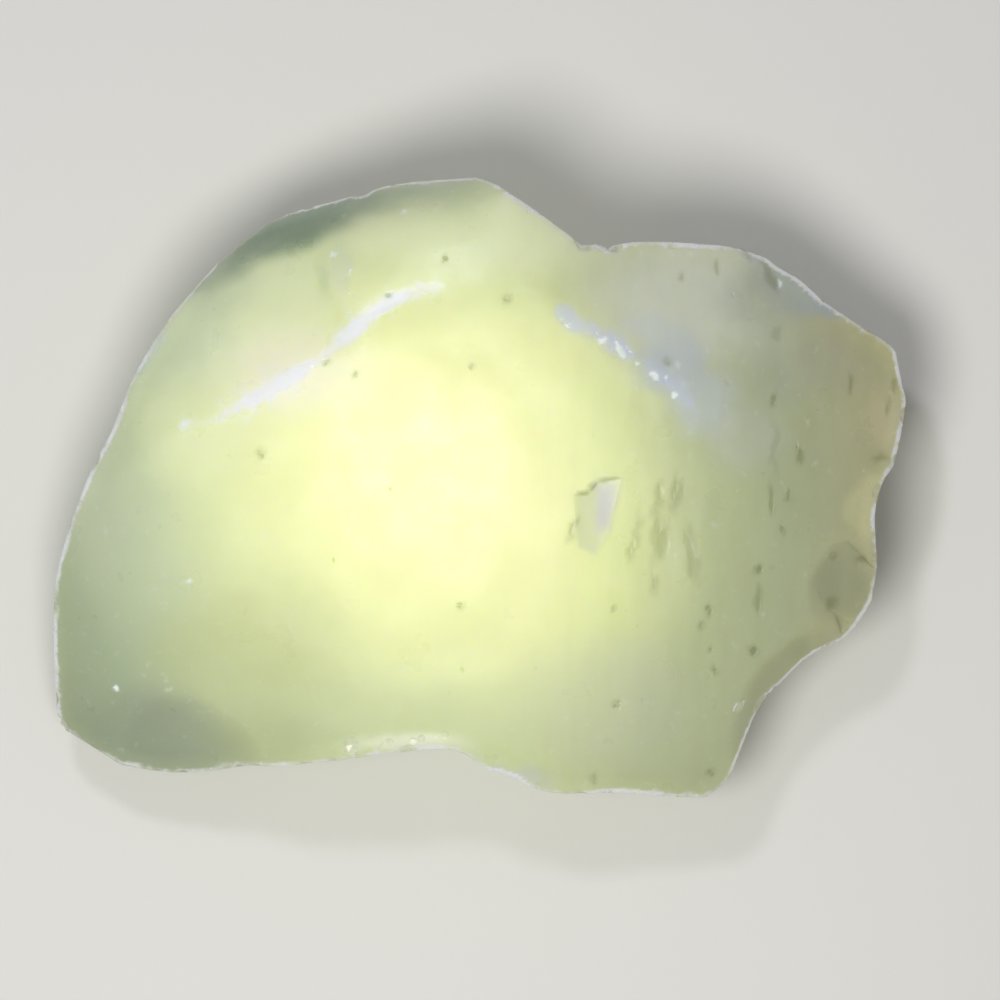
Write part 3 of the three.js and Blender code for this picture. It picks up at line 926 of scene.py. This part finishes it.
# The bruised arrises, with painted highlights and glints, and a lilac painted reflection
band = bruise_and_light_by(points, WESTERN_ARRIS, 1.0 * MM)
bruises_and_highlights = np.maximum(band, spread_by(points, BRUISES_AND_GLINTS, BRUISE_REACH))
beside_it = points - np.array((0.3, 0.3, 0)) * MM
lilac_reflection_bruise = bruise_and_light_by(beside_it, EASTERN_ARRIS, 1.2 * MM)
lilac_reflection_bruise = np.maximum(lilac_reflection_bruise, bruise_and_light_by(points, STEP_ARRIS, 0.9 * MM) * 0.3)
# Painted shade on the north-western bevel, fading out to the east
bevel = inside(points, BEVEL, BEVEL_SOFT)
bevel_shade_fade = 1 - (1 - BEVEL_LEFT) * ramp(points[:, 0], *BEVEL_FADES)
to_rim = distances(points, rim_points)
ragged_rim = 0.45 + 0.75 * ramp(waves(points, 2.5 * MM, seed=33), -0.8, 0.8)
facing_up = ramp(numbers(finished.vertex_normals, "vector", 3)[:, 2], -0.3, 0.3)
# The rim's wear, with a painted highlight where the thin edge catches the light, fullest high up and on
# faces turned up
edge_wear_and_highlight = (1 - ramp(to_rim, 0.1 * MM, 0.5 * MM)) * ragged_rim
edge_wear_and_highlight *= LOW_DOWN + (1 - LOW_DOWN) * ramp(points[:, 2], *ON_TOP)
edge_wear_and_highlight *= FACING_DOWN + (1 - FACING_DOWN) * facing_up
# A painted shadow also lies along three sides of the spall, at its steep northern wall
corners = [place[:2] for place in HOLLOWS["spall"][:4]]
spall_lip = []
for (ax, ay), (bx, by) in zip(corners, corners[1:]):
    lean = math.degrees(math.atan2(bx - ax, by - ay))
    spall_lip.append(((ax + bx) / 2, (ay + by) / 2, math.dist((ax, ay), (bx, by)), LIP_WIDTH, lean))
pit_darkening = MARK_DARKENING["pit"] + MARK_DARKENING["pit_floor"] * ramp(pit_depth, 0, 0.05 * MM)
# Darker in and round the pits and wisps, painted shade in the sliver steps, and a painted shadow on the
# spall's lip
darkened_marks = np.maximum.reduce([
    spread_by(points, pits, REACH) * pit_darkening,
    MARK_DARKENING["sliver"] * spread_by(points, SLIVERS, REACH),
    MARK_DARKENING["spall_lip"] * spread_by(points, spall_lip, REACH),
    MARK_DARKENING["wisp"] * spread_by(points, WISPS, REACH),
])

store("bruise_and_highlight", bruises_and_highlights)
store("lilac_bruise_and_reflection", lilac_reflection_bruise)
store("chip", CHIP_SHARE * ramp(chip_depth, 0.0, 0.08 * MM) * (mark_depth < 0.01 * MM))
store("darkened_marks", darkened_marks)
store("edge", edge_wear_and_highlight)
store("bevel", bevel * bevel_shade_fade)
store("bevel_edge", BEVEL_EDGE_SHARE * (1 - ramp(to_rim, 0.2 * MM, 2.2 * MM)) * bevel)
for name, (outline, soft, _, share) in ZONES.items():
    store(name, share * inside(points, outline, soft))


def make_glass(tree):
    """Layers of colour over the colour of the glass, the last on top, and its gloss. The colour of the
    glass holds a painted glow, and some layers are painted light, shade, glints and reflection.
    """
    place = add_node(tree, "ShaderNodeTexCoord").outputs["Object"]
    wander = add_node(tree, "ShaderNodeTexNoise", Vector=place, Scale=1 / BLOTCH, Detail=2)
    wander = add_node(tree, "ShaderNodeMath", {"operation": "SUBTRACT"}, _0=wander, _1=0.5)
    fray = add_node(tree, "ShaderNodeTexNoise", Vector=place, Scale=1 / TUFT, Detail=4)
    fray = add_node(tree, "ShaderNodeMath", {"operation": "SUBTRACT"}, _0=fray, _1=0.5)
    fray = add_node(tree, "ShaderNodeMath", {"operation": "MULTIPLY"}, _0=fray, _1=FRAYED)
    names = ("bevel", "bevel_edge", *ZONES, "chip", "bruise_and_highlight", "lilac_bruise_and_reflection", "edge", "darkened_marks")
    held = {name: add_node(tree, "ShaderNodeAttribute", {"attribute_name": name}).outputs["Fac"]
            for name in names}

    def tint_and_painted_glow(heart, spread, colours):
        """The glass's tint with a painted glow, by distance from a heart that is spread along the axes.
        """
        from_heart = add_node(tree, "ShaderNodeVectorMath", {"operation": "SUBTRACT"}, _0=place, _1=heart)
        squashed = add_node(tree, "ShaderNodeVectorMath", {"operation": "MULTIPLY"}, _0=from_heart,
                            _1=spread)
        away = add_node(tree, "ShaderNodeVectorMath", {"operation": "LENGTH"}, _0=squashed)
        uneven = add_node(tree, "ShaderNodeMath", {"operation": "MULTIPLY_ADD"}, _0=wander,
                          _1=COLOURS_WANDER, _2=away.outputs["Value"])
        factor = add_node(tree, "ShaderNodeMath", {"operation": "DIVIDE"}, _0=uneven, _1=FARTHEST)
        ramped = add_node(tree, "ShaderNodeValToRGB", _0=factor)
        stops = ramped.color_ramp.elements
        stops.remove(stops[1])
        for i, (distance, shade) in enumerate(colours.items()):
            stop = stops.new(distance * MM / FARTHEST) if i else stops[0]
            stop.position = distance * MM / FARTHEST
            stop.color = linear(shade)
        return ramped

    def blotches(size, detail, low, high, least, most, where=place):
        """Soft blotches about size across, whose strength goes from least to most."""
        noise = add_node(tree, "ShaderNodeTexNoise", Vector=where, Scale=1 / size, Detail=detail)
        return add_node(tree, "ShaderNodeMapRange", SOFT, Value=noise, From_Min=low, From_Max=high,
                        To_Min=least, To_Max=most)

    def speckled(ground, specks, kind):
        """A colour with blotches of another in it."""
        return add_node(tree, "ShaderNodeMix", {"data_type": "RGBA"}, _0=blotches(*kind),
                        _6=linear(ground), _7=linear(specks)).outputs[2]

    def frayed(bruise_and_highlight, low, high, most):
        """How strongly a bruise and its painted highlight or reflection colour the glass, with a border
        that is frayed.
        """
        ragged = add_node(tree, "ShaderNodeMath", {"operation": "ADD"}, _0=held[bruise_and_highlight], _1=fray)
        return add_node(tree, "ShaderNodeMapRange", SOFT, Value=ragged, From_Min=low, From_Max=high,
                        To_Min=0, To_Max=most)

    along_x = add_node(tree, "ShaderNodeSeparateXYZ", _0=place).outputs["X"]
    east = add_node(tree, "ShaderNodeMapRange", SOFT, Value=along_x, From_Min=DIVIDE[0],
                    From_Max=DIVIDE[1])
    # The glass's own tint under a painted glow, brightest at the heart
    colour = add_node(tree, "ShaderNodeMix", {"data_type": "RGBA"}, _0=east,
                      _6=tint_and_painted_glow(WESTERN_HEART, (1, 1, 1), WEST_TINT_AND_GLOW),
                      _7=tint_and_painted_glow(EASTERN_HEART, EASTERN_SPREAD, EAST_TINT_AND_GLOW)).outputs[2]

    # Each layer is how much of it shows, its colour, and how it is laid on
    layers = [
        # Painted shade on the bevel, then its paler rim
        (held["bevel"], linear(BEVEL_PAINTED_SHADE), "MULTIPLY"),
        (held["bevel_edge"], linear(BEVEL_EDGE), "MIX"),
    ]
    # Zones of their own tone, of painted light and shade, and of painted reflection
    layers += [(held[name], linear(shade), "MIX") for name, (_, _, shade, _) in ZONES.items()]

    # The noise that makes the outlines of the patches wander also moves them all by half its reach
    strayed = add_node(tree, "ShaderNodeTexNoise", Vector=place, Scale=1 / PATCH_WANDER, Detail=3)
    strayed = add_node(tree, "ShaderNodeVectorMath", {"operation": "MULTIPLY_ADD"},
                       _0=strayed.outputs["Color"], _1=(PATCH_WANDER,) * 3, _2=place)
    # Patches of its own tone, and of painted light, shade and reflection
    for x, y, width, height, shade, share in TONE_AND_PAINTED_LIGHT_PATCHES:
        middle = (x * MM + PATCH_WANDER / 2, y * MM + PATCH_WANDER / 2, 0)
        centred = add_node(tree, "ShaderNodeMapping", {"vector_type": "TEXTURE"}, Vector=strayed,
                           Location=middle, Scale=(width / 2 * MM, height / 2 * MM, 1))
        out = add_node(tree, "ShaderNodeVectorMath", {"operation": "LENGTH"}, _0=centred)
        shown = add_node(tree, "ShaderNodeMapRange", SOFT, Value=out.outputs["Value"],
                         From_Min=PATCH_FADES[0], From_Max=PATCH_FADES[1], To_Min=share, To_Max=0)
        layers.append((shown, linear(shade), "MIX"))

    # The streaks run along Y in the eastern half, where the glass was drawn
    drawn_out = add_node(tree, "ShaderNodeMapping", {"vector_type": "TEXTURE"}, Vector=place,
                         Scale=(1, STREAK_LENGTH, STREAK_LENGTH))
    streaks = add_node(tree, "ShaderNodeMath", {"operation": "MULTIPLY"},
                       _0=blotches(*STREAKS, where=drawn_out), _1=east)
    layers += [
        (blotches(*CLOUDS), linear(CLOUD_GREY), "MULTIPLY"),
        (streaks, linear(CLOUD_GREY), "MULTIPLY"),
        (held["chip"], linear(CHIP_PALE), "MIX"),
        # Bruises with painted glints, lilac reflection and highlights, and the rim's wear with its
        # painted highlight
        (frayed("lilac_bruise_and_reflection", 0.1, 1.2, 0.75), speckled(LILAC_PAINTED_REFLECTION, PAINTED_GLINT_BLUE, PAINTED_GLINT_SPECKS), "MIX"),
        (frayed("bruise_and_highlight", 0.05, 0.95, 1), speckled(BRUISE_AND_HIGHLIGHT_WHITE, LILAC_PAINTED_REFLECTION, VEINS), "MIX"),
        (frayed("edge", 0.1, 0.9, 0.85), linear(EDGE_WEAR_AND_HIGHLIGHT), "MIX"),
        # Darker marks, with painted shade in the steps and a painted shadow on the spall's lip
        (held["darkened_marks"], linear(MARK_DARK_COLOUR), "MULTIPLY"),
    ]
    for share, shade, laid in layers:
        colour = add_node(tree, "ShaderNodeMix", {"data_type": "RGBA", "blend_type": laid}, _0=share,
                          _6=colour, _7=shade).outputs[2]

    roughness = add_node(tree, "ShaderNodeMath", {"operation": "MULTIPLY_ADD"}, _0=held["bruise_and_highlight"],
                         _1=-BRUISE_GLOSS, _2=blotches(*SATIN))
    grain = add_node(tree, "ShaderNodeTexNoise", Vector=place, Scale=1 / GRAIN, Detail=3)
    bump = add_node(tree, "ShaderNodeBump", Height=grain, Strength=0.06,
                    Distance=GRAIN_DEPTH).outputs["Normal"]
    shader = add_node(tree, "ShaderNodeBsdfPrincipled", Base_Color=colour, Roughness=roughness,
                      Normal=bump, IOR=1.5, Subsurface_Weight=1.0, Subsurface_Radius=(1.0, 0.9, 0.5),
                      Subsurface_Scale=0.004)
    add_node(tree, "ShaderNodeOutputMaterial", Surface=shader.outputs["BSDF"])


make_glass(glass_tree)

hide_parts("glass_lump")
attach(lump, "root")
